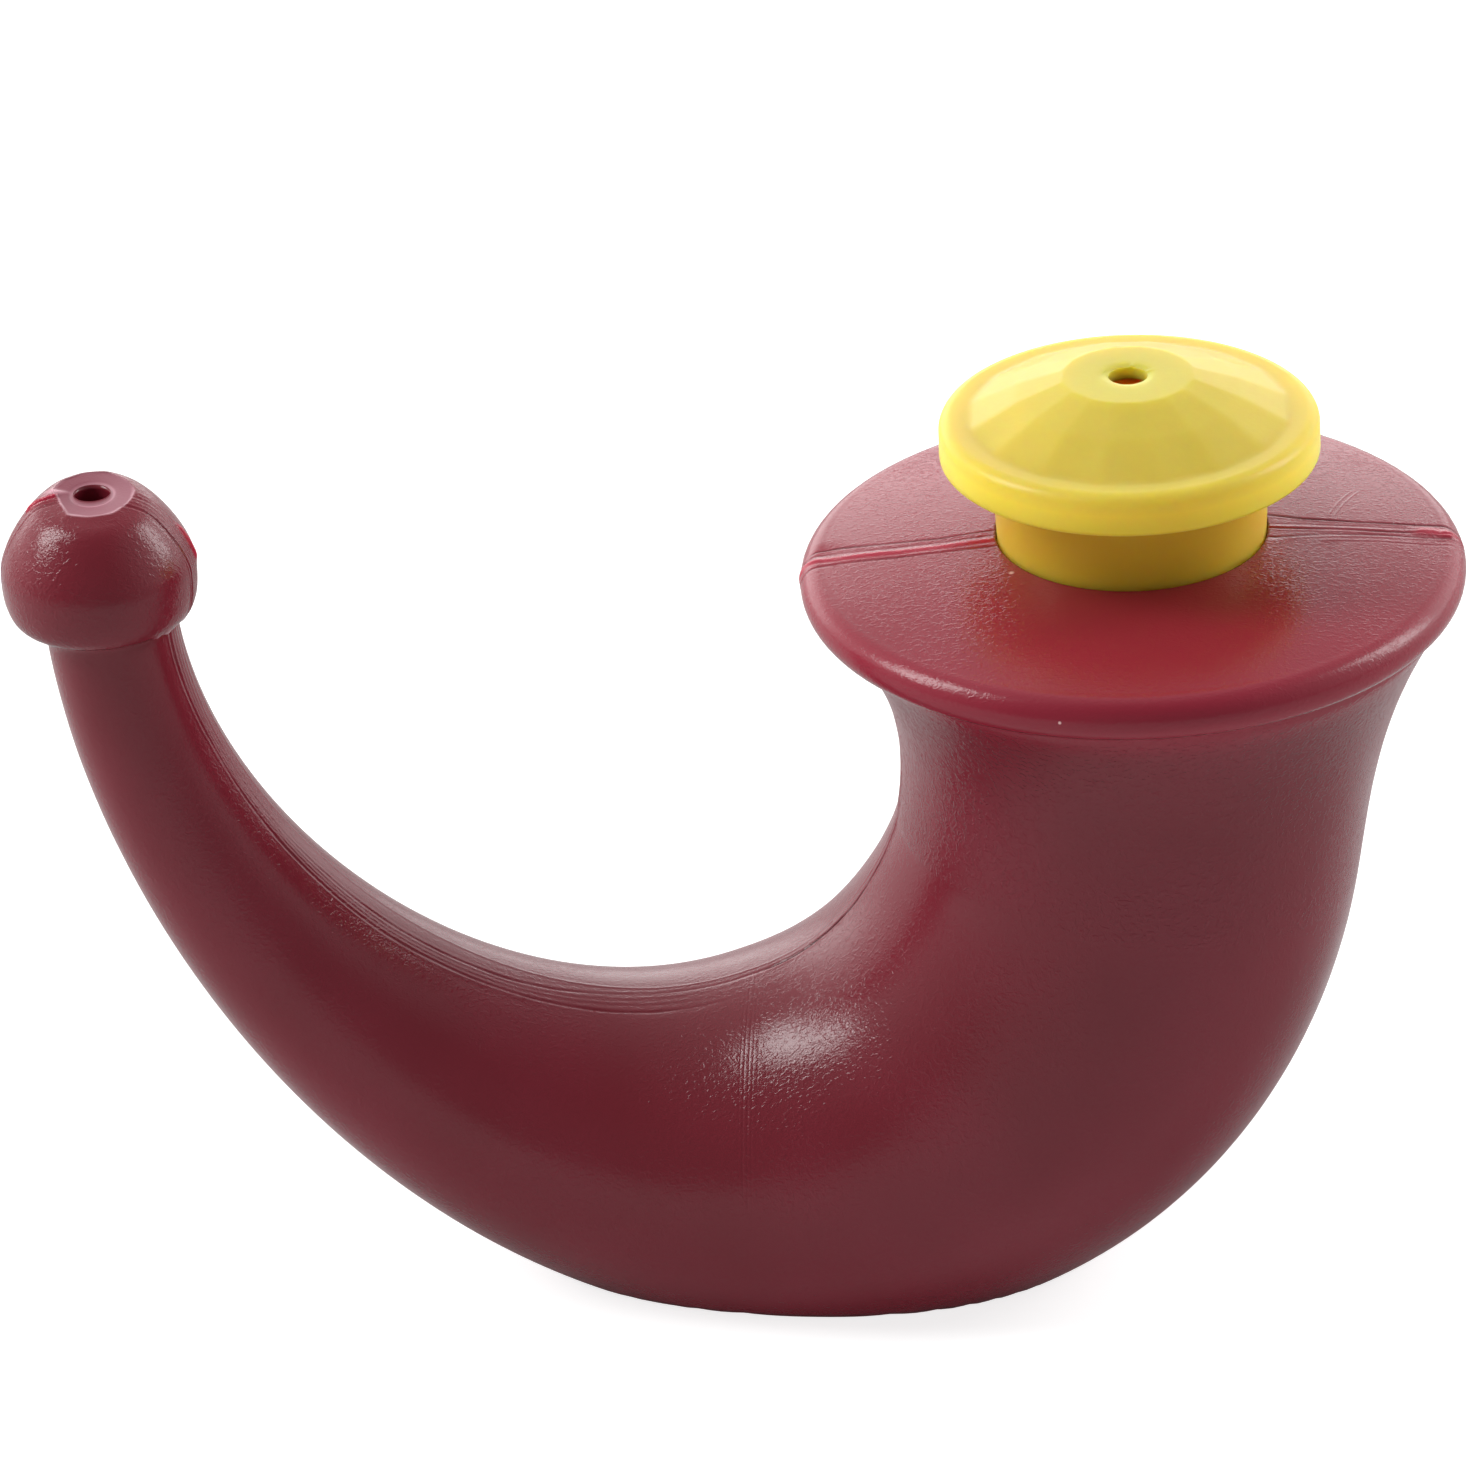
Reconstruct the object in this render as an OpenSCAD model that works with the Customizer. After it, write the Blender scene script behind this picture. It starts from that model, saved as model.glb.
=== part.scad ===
// Horn-shaped nasal rinsing pot, blow moulded in soft plastic, with a push-in stopper.
// The pot stands on its flat foot. The origin is in the middle of its outer size, on the
// surface it stands on. X runs from the nozzle to the mouth and Z is up.

/* [Layout] */
// Distance from the nozzle's axis to the mouth's axis
reach = 108.6; // [95:0.1:125]
// Height of the disc's rim above the table
disc_h = 83.3; // [78:0.1:95]
// Height of the nozzle's cut face above the table
nozzle_h = 95.4; // [88:0.1:108]
// Thickness of the blown wall
wall = 1.6; // [1:0.1:2.2]

/* [Disc] */
// Radius of the flat disc round the mouth
disc_r = 35; // [33.5:0.1:40]
// Thickness of the disc's rounded rim
rim_t = 4.9; // [4:0.1:5.6]
// Rise of the disc's top from its rim to its middle
crown = 3.1; // [1.5:0.1:4]
// Radius of the mouth, which the stopper fits
mouth_r = 14.2; // [12:0.1:16]

/* [Bowl] */
// Distance from the mouth's axis back to the bowl's lowest point
low_back = 43.4; // [38:0.1:48]
// Height of the centre line at the bowl's lowest point
low_h = 13.5; // [11.5:0.1:16]
// Radius of the bowl at its lowest point
low_r = 20.5; // [18.5:0.1:22.5]
// Gain in radius along each millimetre of the centre line at the lowest point
taper = 0.193; // [0.15:0.005:0.22]
// Reach of the low curve towards the spout
low_pull_spout = 34; // [28:0.5:38]
// Reach of the low curve towards the neck
low_pull_neck = 32; // [28:0.5:35]

/* [Neck] */
// Radius of the neck at its waist
waist_r = 24.9; // [23:0.1:26.5]
// Height of the waist
waist_h = 49; // [45:0.5:53]
// Distance from the mouth's axis back to the waist's centre
waist_back = 1.2; // [0:0.1:3]
// Lean of the neck at its waist, in degrees
waist_lean = 8.9; // [4:0.1:14]
// Reach of the waist's curve down into the bowl
waist_pull_bowl = 9; // [6:0.5:14]
// Reach of the waist's curve up towards the throat
waist_pull_throat = 8; // [5:0.5:10]
// Radius of the throat where it meets the disc
throat_r = 32; // [30:0.1:32.3]
// Distance by which the throat's centre lies outside the mouth's axis
throat_out = 0.8; // [0:0.1:1.2]
// Reach of the throat's curve down from the disc
throat_pull = 11; // [8:0.5:13]

/* [Spout] */
// Radius of the spout where it enters the nozzle bulb
spout_r = 7; // [6.4:0.1:8]
// Lean of the spout where it enters the bulb, in degrees
spout_lean = 4; // [0:0.5:8]
// Distance by which the spout enters beside the bulb's axis
spout_in = 0.8; // [0:0.1:1.5]
// Reach of the spout's curve down from the bulb
spout_pull = 32; // [26:0.5:38]

/* [Nozzle] */
// Largest radius of the nozzle bulb
bulb_r = 10.3; // [9.5:0.1:12]
// Length of the bulb, from its cut face to its underside
bulb_l = 14.6; // [13.5:0.1:16.5]
// Distance from the cut face down to the bulb's widest place
bulb_drop = 9.1; // [8.5:0.1:9.8]
// Radius of the flat cut face
tip_r = 4.35; // [3.8:0.05:5]
// Radius of the nozzle's bore
bore_r = 1.95; // [1.5:0.05:2.4]
// Depth of the countersink round the bore
sink = 0.3; // [0.2:0.05:0.6]

/* [Stopper] */
// Radius of the stopper's brim
brim_r = 19.9; // [18.5:0.1:21.5]
// Thickness of the brim
brim_t = 4.6; // [3.8:0.1:5.5]
// Height of the brim's underside above the disc's rim
brim_h = 11.4; // [9:0.1:14]
// Rounding of the brim's lower edge
brim_round = 0.6; // [0.3:0.1:0.9]
// Rounding of the brim's upper edge
brim_crest = 1.4; // [0.6:0.1:1.8]
// Growth of the collar's radius for each millimetre of its height
draft = 0.05; // [0.02:0.01:0.06]
// Depth of the plug below the disc's rim
plug_l = 8; // [5:0.5:12]
// Thickness of the stopper's wall
stopper_wall = 1.8; // [1.3:0.1:2.3]
// Height of the faceted cap above the brim
cap_h = 4.4; // [3.4:0.1:5.5]
// Radius of the cap's base, at its corners
cap_r = 16.9; // [16:0.1:18]
// Radius of the flat in the middle of the cap
cap_flat_r = 6.9; // [6:0.1:8]
// Number of flats round the cap
cap_flats = 16; // [14:1:24]
// Radius of the air hole that a finger closes
vent_r = 2.05; // [1.5:0.05:2.6]
// Gap all round between the plug and the mouth
fit_gap = 0.05; // [0.03:0.01:0.1]

/* [Hidden] */

// Round solids: number of sides of the plain revolves
round_fn = 96;
// Sides round the swept walls, and rings along each of the three curves
outer_sides = 48;
outer_rings = [24, 24, 14];
inner_sides = 32;
inner_rings = [13, 13, 8];

// Both axes, placed so that the origin is in the middle of the outer length
mouth_x = (reach + bulb_r - disc_r) / 2;
nozzle_x = mouth_x - reach;

// Step from the spout's wall out to the bulb's underside
bulb_step = 0.1;
// Pulls on the bulb's outline: at its cut face, its side, its underside and its neck
face_pull = [1.6, -0.3];
side_pull = 3.2;
under_pull = 0.96 * (bulb_l - bulb_drop);
neck_pull = 1.9;

// The disc's rounded rim
rim_r = rim_t / 2;
rim_x = disc_r - rim_r;

// Height of the throat's end, a little below the disc's underside
below_disc = 1.1;
throat_h = disc_h - rim_t - below_disc;
// How far the swept wall runs on into the disc and into the bulb
into_disc = 2.6;
into_bulb = 4;

// Height at which the spout enters the bulb, a little below the bulb's underside
below_bulb = 0.6;
spout_h = nozzle_h - bulb_l - below_bulb;

// The middle ring of the cap, halfway out and a little above a straight slope
cap_mid_r = (cap_flat_r + cap_r) / 2;
cap_mid_h = 0.58 * cap_h;
// Turn of the cap's corners away from the X axis, in degrees
cap_turn = 9;
// Heights of the stopper: its open end, both faces of its brim and its flat top
plug_end = disc_h - plug_l;
brim_under = disc_h + brim_h;
brim_top = brim_under + brim_t;
stopper_top = brim_top + cap_h;
// Chamfer that leads the plug into the mouth
lead_in = 0.6;
// Thickness of the stopper under its flat top
top_wall = 0.85 * stopper_wall;
// How far a cutting solid runs on past a face
past = 1;

// Cubic curve through a and d, pulled towards b and c
function curve(p, t) =
    pow(1 - t, 3) * p[0] + 3 * pow(1 - t, 2) * t * p[1]
    + 3 * (1 - t) * pow(t, 2) * p[2] + pow(t, 3) * p[3];
// Direction of the same curve
function heading(p, t) =
    pow(1 - t, 2) * (p[1] - p[0]) + 2 * (1 - t) * t * (p[2] - p[1]) + pow(t, 2) * (p[3] - p[2]);

// Points of the centre line, each as x, z and the radius there
spout_end = [nozzle_x + spout_in, spout_h, spout_r];
low_point = [mouth_x - low_back, low_h, low_r];
waist = [mouth_x - waist_back, waist_h, waist_r];
throat = [mouth_x + throat_out, throat_h, throat_r];

// Directions at the ends of the curves, with the change of radius as the third number
spout_dir = [sin(spout_lean), -cos(spout_lean), 0];
low_dir = [1, 0, taper];
waist_dir = [sin(waist_lean), cos(waist_lean), 0];

// The three curves of the centre line: the spout, the bowl and the throat
spout_curve = [
    spout_end,
    spout_end + spout_pull * spout_dir,
    low_point - low_pull_spout * low_dir,
    low_point
];
bowl_curve = [
    low_point,
    low_point + low_pull_neck * low_dir,
    waist - waist_pull_bowl * waist_dir,
    waist
];
throat_curve = [
    waist,
    waist + waist_pull_throat * waist_dir,
    [throat[0], throat[1] - throat_pull, waist_r],
    throat
];

// Height of the disc's top at a distance x from the mouth's axis
function crown_z(x) = disc_h + crown * (1 - pow(x / rim_x, 2));

// A ring of points in the plane across the centre line at point c, heading d
function ring(c, d, r, n) =
    let (u = [d[0], d[1]] / norm([d[0], d[1]]))
    [for (i = [0:n - 1])
        let (a = 360 * i / n)
        [c[0] - r * cos(a) * u[1], r * sin(a), c[1] + r * cos(a) * u[0]]];

// Rings along one curve, without its first point unless first is true
function rings_along(p, count, inset, sides, first) =
    [for (i = [first ? 0 : 1:count])
        let (t = i / count, c = curve(p, t))
        ring(c, heading(p, t), c[2] - inset, sides)];

// Rings of the whole wall, moved inwards by inset
function wall_rings(inset, sides, counts, above) = concat(
    [ring(spout_end - above * spout_dir, spout_dir, spout_r - inset, sides)],
    rings_along(spout_curve, counts[0], inset, sides, true),
    rings_along(bowl_curve, counts[1], inset, sides, false),
    rings_along(throat_curve, counts[2], inset, sides, false)
);

// A level ring under the disc, centred between the throat's axis and the mouth's
function level_ring(r, z, share, sides) =
    ring([mouth_x + throat_out * share, z], [0, 1], r, sides);

// Rings that close the hollow under the crowned disc
function ceiling_rings(sides) =
    let (r0 = throat_r - wall - below_disc)
    [for (share = [1, 0.7, 0.4, 0.15])
        level_ring(r0 * share, crown_z(r0 * share) - wall, share, sides)];

// Closed solid through a list of rings with the same number of points
module through(rings) {
    sides = len(rings[0]);
    last = len(rings) - 1;
    walls = [for (j = [0:last - 1], i = [0:sides - 1])
        let (a = j * sides + i, b = j * sides + (i + 1) % sides, c = a + sides, d = b + sides)
        each [[a, b, d], [a, d, c]]];
    caps = [
        [for (i = [sides - 1:-1:0]) i],
        [for (i = [0:sides - 1]) last * sides + i]
    ];
    polyhedron(points = [for (r = rings) each r], faces = concat(walls, caps), convexity = 8);
}

// Profile of the nozzle bulb, its wall moved inwards by inset and its face down by drop
function bulb_profile(inset, drop) =
    let (
        top = nozzle_h - drop,
        wide = nozzle_h - bulb_drop,
        low = nozzle_h - bulb_l + inset,
        r = bulb_r - inset,
        face = tip_r - inset,
        neck = spout_r - inset + bulb_step,
        upper = [[face, top], face_pull + [face, top], [r, wide + side_pull], [r, wide]],
        lower = [[r, wide], [r, wide - under_pull], [neck + neck_pull, low], [neck, low]]
    )
    concat(
        [[0, low], [0, top]],
        [for (i = [0:10]) curve(upper, i / 10)],
        [for (i = [1:8]) curve(lower, i / 8)]
    );

module bulb(inset, drop) {
    translate([nozzle_x, 0, 0]) rotate_extrude($fn = round_fn) polygon(bulb_profile(inset, drop));
}

// Crowned disc with a full round along its rim, its top in a few straight steps
module disc() {
    steps = 8;
    translate([mouth_x, 0, 0]) rotate_extrude($fn = round_fn) polygon(concat(
        [[0, disc_h - rim_t]],
        [for (i = [0:12]) let (a = -90 + 15 * i) [rim_x + rim_r * cos(a), disc_h - rim_r + rim_r * sin(a)]],
        [for (i = [steps - 1:-1:0]) let (x = rim_x * i / steps) [x, crown_z(x)]]
    ));
}

// Hollow inside the horn, with its floor one wall above the foot
module hollow() {
    difference() {
        through(concat(
            wall_rings(wall, inner_sides, inner_rings, into_bulb + past),
            ceiling_rings(inner_sides)
        ));
        below(wall);
    }
    bulb(wall, 2 * wall);
}

// Everything below a height, for cutting a flat foot
module below(h) {
    size = 4 * reach;
    translate([-size / 2, -size / 2, h - size]) cube(size);
}

module horn() {
    color([0.45, 0.13, 0.19])
    difference() {
        union() {
            difference() {
                through(concat(
                    wall_rings(0, outer_sides, outer_rings, into_bulb),
                    [level_ring(throat_r, throat_h + into_disc, 1, outer_sides)]
                ));
                below(0);
            }
            disc();
            bulb(0, 0);
        }
        hollow();
        // The mouth
        translate([mouth_x, 0, throat_h])
            cylinder(r = mouth_r, h = disc_h + crown + past - throat_h, $fn = round_fn);
        // The nozzle's bore and its countersink
        translate([nozzle_x, 0, nozzle_h - bulb_drop])
            cylinder(r = bore_r, h = bulb_drop + past, $fn = 48);
        translate([nozzle_x, 0, nozzle_h - sink])
            cylinder(r1 = bore_r, r2 = bore_r + 2 * (sink + past), h = sink + past, $fn = 48);
    }
}

// Radius of the stopper's plug and collar at height z
function plug_r(z) = mouth_r - fit_gap + draft * (z - crown_z(mouth_r));

// Plug, collar and brim in one turned profile
module turned() {
    e = brim_round;
    c = brim_crest;
    rotate_extrude($fn = round_fn) polygon(concat(
        [[0, plug_end], [plug_r(plug_end) - lead_in, plug_end]],
        [[plug_r(plug_end + lead_in), plug_end + lead_in], [plug_r(brim_under), brim_under]],
        [for (a = [-90:30:0]) [brim_r - e + e * cos(a), brim_under + e + e * sin(a)]],
        [for (a = [0:15:90]) [brim_r - c + c * cos(a), brim_top - c + c * sin(a)]],
        [[0, brim_top]]
    ));
}

// One corner ring of the cap, in the same sense as the other rings
function cap_ring(r, z) =
    [for (i = [0:cap_flats - 1])
        let (a = cap_turn - 360 * i / cap_flats)
        [r * cos(a), r * sin(a), z]];

// Faceted cap: two rings of flats below a small flat disc
module cap() {
    through([
        cap_ring(cap_r, brim_top - brim_t / 2),
        cap_ring(cap_r, brim_top),
        cap_ring(cap_mid_r, brim_top + cap_mid_h),
        cap_ring(cap_flat_r, stopper_top)
    ]);
}

// Hollow of the stopper, open below, with a sloping ceiling under the cap
module stopper_hollow() {
    r = plug_r(plug_end) - stopper_wall;
    ceiling = brim_top - stopper_wall;
    rotate_extrude($fn = round_fn) polygon([
        [0, plug_end - past],
        [r, plug_end - past],
        [r, ceiling - lead_in],
        [r - lead_in, ceiling],
        [cap_flat_r - stopper_wall, stopper_top - top_wall],
        [0, stopper_top - top_wall]
    ]);
}

module stopper() {
    color([0.93, 0.85, 0.36])
    translate([mouth_x, 0, 0])
    difference() {
        union() {
            turned();
            cap();
        }
        stopper_hollow();
        translate([0, 0, brim_top - brim_t])
            cylinder(r = vent_r, h = brim_t + cap_h + past, $fn = 48);
    }
}

horn();
stopper();
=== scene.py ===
# %% [markdown]
# # A horn-shaped nasal rinsing pot and its stopper
# The pot is one blown piece of satin, wine-red plastic: a thin spout with a bulb at its tip,
# a low bowl that stands on a small flat foot, a neck, and a flat disc round the mouth. A
# yellow stopper with a faceted cap is pushed into the mouth. The solid model already has the
# right sizes and stays the frame of everything here. We only make finer skins over it.

# %% Load the solid model as a fixed frame
import math

import bpy
import numpy as np
from mathutils import Matrix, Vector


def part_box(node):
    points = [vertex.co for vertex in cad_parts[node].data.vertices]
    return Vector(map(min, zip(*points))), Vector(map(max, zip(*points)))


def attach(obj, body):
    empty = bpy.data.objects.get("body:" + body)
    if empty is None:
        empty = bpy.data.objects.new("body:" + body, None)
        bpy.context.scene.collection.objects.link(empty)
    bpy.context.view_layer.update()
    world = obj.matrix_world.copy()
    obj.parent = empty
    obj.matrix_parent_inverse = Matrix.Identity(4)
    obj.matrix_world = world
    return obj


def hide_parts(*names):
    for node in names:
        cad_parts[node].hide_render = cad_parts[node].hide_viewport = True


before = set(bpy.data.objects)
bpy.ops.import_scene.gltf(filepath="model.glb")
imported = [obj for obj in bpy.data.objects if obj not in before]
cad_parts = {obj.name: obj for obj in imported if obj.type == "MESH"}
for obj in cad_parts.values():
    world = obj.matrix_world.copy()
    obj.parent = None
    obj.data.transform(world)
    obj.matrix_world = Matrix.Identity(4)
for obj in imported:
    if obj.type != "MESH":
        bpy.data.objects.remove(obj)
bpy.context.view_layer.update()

# %% [markdown]
# ## Sizes
# Blender works in metres, but a pot this small is easier to think about in millimetres. All
# the sizes below are millimetres, the same ones that the solid model was drawn with, and the
# last step before a mesh is made multiplies by MM.

# %% The pot's sizes
MM = 0.001

# Distance between both axes, height of the disc's edge, height of the nozzle, wall.
reach, disc_h, nozzle_h, wall = 108.6, 83.3, 95.4, 1.6
# Radius of the disc, thickness of its rim, rise of its crown, radius of the mouth.
disc_r, rim_t, crown, mouth_r = 35.0, 4.9, 3.1, 14.2
# Radius of the bulb, its height, and the depth of its widest place below the cut.
bulb_r, bulb_l, bulb_drop = 10.3, 14.6, 9.1
# Radius of the cut face, radius of the bore, depth of the bore's countersink.
tip_r, bore_r, sink = 4.35, 1.95, 0.3

mouth_x = (reach + bulb_r - disc_r) / 2
nozzle_x = mouth_x - reach
rim_r = rim_t / 2
rim_x = disc_r - rim_r
print("mouth's axis at", mouth_x, "nozzle's axis at", nozzle_x)

# %% [markdown]
# ## The centre line
# A horn is easiest to describe by a line through its middle and a radius at each place along
# it. Three cubic curves do it: the spout comes down from the bulb, the bowl runs along the
# table and turns up, and the throat flares out under the disc. Each control point holds
# x, z and the radius together, so the thickness changes as smoothly as the line bends.

# %% Cubic curves through the middle of the horn
def cubic(points, t):
    """The four points weighted by (1-t)^3, 3 t (1-t)^2, 3 t^2 (1-t) and t^3."""
    a, b, c, d = (np.asarray(p, float) for p in points)
    t = np.asarray(t, float)[:, None]
    return (1 - t) ** 3 * a + 3 * t * (1 - t) ** 2 * b + 3 * t**2 * (1 - t) * c + t**3 * d


def cubic_heading(points, t):
    """Direction of the same curve: its three chords weighted by (1-t)^2, 2 t (1-t) and t^2."""
    a, b, c, d = (np.asarray(p, float) for p in points)
    t = np.asarray(t, float)[:, None]
    return (1 - t) ** 2 * (b - a) + 2 * t * (1 - t) * (c - b) + t**2 * (d - c)


spout_lean, waist_lean = math.radians(4), math.radians(8.9)
spout_end = np.array([nozzle_x + 0.8, nozzle_h - bulb_l - 0.6, 7.0])
low_point = np.array([mouth_x - 43.4, 13.5, 20.5])
waist = np.array([mouth_x - 1.2, 49.0, 24.9])
throat = np.array([mouth_x + 0.8, disc_h - rim_t - 1.1, 32.0])

down_spout = np.array([math.sin(spout_lean), -math.cos(spout_lean), 0])
along_bowl = np.array([1, 0, 0.193])
up_neck = np.array([math.sin(waist_lean), math.cos(waist_lean), 0])

# How far the two inner control points stand from the first and from the last end.
spout_handles, bowl_handles, throat_handles = (32, 34), (32, 9), (8, 11)
spout_curve = [spout_end, spout_end + spout_handles[0] * down_spout,
               low_point - spout_handles[1] * along_bowl, low_point]
bowl_curve = [low_point, low_point + bowl_handles[0] * along_bowl,
              waist - bowl_handles[1] * up_neck, waist]
throat_curve = [waist, waist + throat_handles[0] * up_neck,
                [throat[0], throat[1] - throat_handles[1], waist[2]], throat]
print("widest across the horn:", 2 * throat[2], "mm; thinnest:", 2 * spout_end[2], "mm")

# %% [markdown]
# ## Rings
# The skin is a long row of rings. Each ring is one line of a table: the x and z of its
# centre, the x and z of the direction it faces, and its radius. Rings of the bulb and the
# disc lie level, because those parts are round about an upright axis. After the outside
# has reached the mouth, the rings turn inwards and run all the way back through the hollow
# to the nozzle's bore, so the skin closes on itself and has a real wall.

# %% Tables of rings
def sweep_rings(points, t, inset=0.0):
    """Rings across a centre curve: centre and radius from the curve, facing along it."""
    place, facing = cubic(points, t), cubic_heading(points, t)[:, :2]
    facing = facing / np.linalg.norm(facing, axis=1, keepdims=True)
    return np.column_stack([place[:, :2], facing, place[:, 2] - inset])


def level_rings(axis_x, facing, outline):
    """Level rings round an upright axis. The outline lists radius and height."""
    r, z = np.asarray(outline, float).T
    one = np.ones_like(r)
    return np.column_stack([axis_x * one, z, 0 * one, facing * one, r])


def crown_z(r):
    """Height of the disc's domed top: it falls with the square of the distance r."""
    return disc_h + crown * (1 - (np.asarray(r, float) / rim_x) ** 2)


def arc(centre_r, centre_z, radius, start, end, count):
    """Points on a circle in the plane of radius and height, angles in degrees."""
    a = np.radians(np.linspace(start, end, count))
    return np.column_stack([centre_r + radius * np.cos(a), centre_z + radius * np.sin(a)])


# %% [markdown]
# ## The bulb at the nozzle
# The bulb looks like a small mushroom: a flat cut face with a bore, a side that swells to
# its widest place and an underside that tucks in sharply to the spout. Two cubic curves
# give the outline. Rings crowd together where the outline turns a corner.

# %% Outline of the bulb, outside and inside
def bulb_outline(inset, drop, upper_count, lower_count):
    """Cubic curve from the cut face to the widest place, then another under to the spout."""
    top, wide, low = nozzle_h - drop, nozzle_h - bulb_drop, nozzle_h - bulb_l + inset
    r, face, neck = bulb_r - inset, tip_r - inset, spout_end[2] - inset + 0.1
    shoulder_out, shoulder_down, side_pull = 1.6, 0.3, 3.2
    under_pull, tuck_in = 0.96 * (bulb_l - bulb_drop), 1.9
    upper = [[face, top], [face + shoulder_out, top - shoulder_down], [r, wide + side_pull], [r, wide]]
    lower = [[r, wide], [r, wide - under_pull], [neck + tuck_in, low], [neck, low]]
    return np.vstack([
        cubic(upper, np.linspace(0, 1, upper_count) ** 1.4),
        cubic(lower, 1 - (1 - np.linspace(0, 1, lower_count)[1:]) ** 1.3),
    ])


bore_l = 3.2
bore = [[bore_r, z] for z in np.linspace(nozzle_h - bore_l, nozzle_h - sink, 6)]
countersink = [[bore_r + sink * 0.5, nozzle_h - sink * 0.5], [bore_r + 1.2 * sink, nozzle_h - 0.1]]
cut_face = [[r, nozzle_h - 0.05] for r in np.linspace(bore_r + 2 * sink, tip_r, 6)]
bulb_skin = bulb_outline(0, 0, 46, 24)
print("bulb is", round(2 * bulb_skin[:, 0].max(), 2), "mm across")

# %% [markdown]
# ## The disc round the mouth
# Its top is very slightly domed, and its edge is a full round, like a rolled bead. Where
# the dome meets the bead there is a shallow valley that catches the light as a soft ring.

# %% Outline of the disc, from the throat over the rim to the mouth
edge_round = 0.3
rim = arc(rim_x, disc_h - rim_r, rim_r, -82, 90, 19)
valley_r = rim_x - np.array([0.3, 0.7, 1.3])
top_r = np.concatenate([valley_r, np.linspace(rim_x - 2.2, mouth_r + edge_round, 22)])
disc_top = np.column_stack([top_r, crown_z(top_r)])
edge_z = crown_z(mouth_r + edge_round) - edge_round
mouth_edge = arc(mouth_r + edge_round, edge_z, edge_round, 110, 180, 4)
mouth_wall = [[mouth_r, crown_z(mouth_r) - 0.9], [mouth_r, crown_z(mouth_r) - wall + 0.1]]
ceiling_r = np.linspace(mouth_r + edge_round, throat[2] - wall - 1.1, 6)
ceiling = np.column_stack([ceiling_r, crown_z(ceiling_r) - wall])
print("disc is", 2 * disc_r, "mm across,", round(float(crown_z(mouth_r)), 2), "mm high at the mouth")

# %% [markdown]
# ## One row of rings for the whole pot
# All the stretches are joined into one table. Each ring also remembers which part of the
# pot it belongs to, because the mould left different traces on each part.

# %% Join the stretches
stretches, part = [], []


def stretch(name, rings):
    """Adds rings to the row and notes the part's name for each of them."""
    stretches.append(rings)
    part.extend([name] * len(rings))


stretch("bore", level_rings(nozzle_x, -1, bore))
stretch("face", level_rings(nozzle_x, -1, countersink))
stretch("face", level_rings(nozzle_x, -1, cut_face))
stretch("bulb", level_rings(nozzle_x, -1, bulb_skin[1:]))
stretch("spout", sweep_rings(spout_curve, [0.006]))
stretch("spout", sweep_rings(spout_curve, np.linspace(0.015, 1, 104)))
stretch("bowl", sweep_rings(bowl_curve, np.linspace(0, 1, 86)[1:]))
stretch("neck", sweep_rings(throat_curve, np.linspace(0, 1, 34)[1:]))
stretch("neck", level_rings(mouth_x + 0.75, 1, [[throat[2] + 0.05, throat[1] + 0.5]]))
stretch("rim", level_rings(mouth_x, 1, rim))
stretch("disc", level_rings(mouth_x, 1, disc_top))
stretch("mouth", level_rings(mouth_x, 1, mouth_edge))
stretch("mouth", level_rings(mouth_x, 1, mouth_wall))
stretch("inside", level_rings(mouth_x, 1, ceiling))
stretch("inside", sweep_rings(throat_curve, np.linspace(1, 0, 9), wall))
stretch("inside", sweep_rings(bowl_curve, np.linspace(1, 0, 21)[1:], wall))
stretch("inside", sweep_rings(spout_curve, np.linspace(1, 0, 21)[1:], wall))
stretch("inside", level_rings(nozzle_x, -1, bulb_outline(wall, 2 * wall, 8, 6)[::-1]))

row, part = np.vstack(stretches), np.array(part)
centres = row[:, [0, 1]]
steps = np.linalg.norm(np.diff(centres, axis=0), axis=1) + np.abs(np.diff(row[:, 4]))
run = np.r_[0, np.cumsum(steps)]
print(len(row), "rings over", round(run[-1]), "mm")

# %% [markdown]
# ## Columns that crowd along the mould's line
# Every ring has the same number of points. The mould's halves met on a band a few
# millimetres wide along the inside of the U, and on another along its outside. There the
# columns keep a fixed spacing in millimetres, fine enough for the fin and for the grooves
# beside it. Two groups of wider columns share what is left of the ring. On rings smaller than
# smallest_r the bands shrink with the ring, so that they never meet.

# %% Angles of the points on every ring
band_front, band_back, outer_front = 4.8, 2.8, 3.6
inner_q = np.linspace(-band_front, band_back, 61)
outer_q = np.linspace(-band_back, outer_front, 51)


def between(start, end, count):
    """Evenly spaced angles between two columns, without both ends."""
    return start + (end - start) * np.arange(1, count + 1) / (count + 1)


smallest_r = 4.0
radius = np.maximum(row[:, 4:5], smallest_r)
inner_band, outer_band = inner_q / radius, np.pi + outer_q / radius
back_side = between(inner_band[:, -1:], outer_band[:, :1], 44)
front_side = between(outer_band[:, -1:], 2 * np.pi + inner_band[:, :1], 50)
angle = np.hstack([inner_band, back_side, outer_band, front_side])
outer_half = np.cos(angle) < 0
print(angle.shape, "points in rings and columns")

# %% [markdown]
# ## The plain skin
# Rings and angles give the points of a smooth horn. The pot doesn't rock, because the mould
# gave it a small flat foot. A soft floor presses the lowest points flat: outside at the height
# of the table, inside one wall above it.

# %% Points of the smooth horn, and its foot
def circle_points(rings, angle):
    """Centre plus radius: cos(angle) across the facing direction, sin(angle) along y."""
    cx, cz, ux, uz, r = (rings[:, k : k + 1] for k in range(5))
    across = r * np.cos(angle)
    return np.stack([cx - across * uz, r * np.sin(angle), cz + across * ux], axis=-1)


def flatten_below(z, floor, soft):
    """z above the floor, the floor below it, and a parabola of width soft between the two."""
    over = z - floor
    bend = (over + soft) ** 2 / (4 * soft)
    return floor + np.where(over > soft, over, np.where(over < -soft, 0.0, bend))


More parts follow.
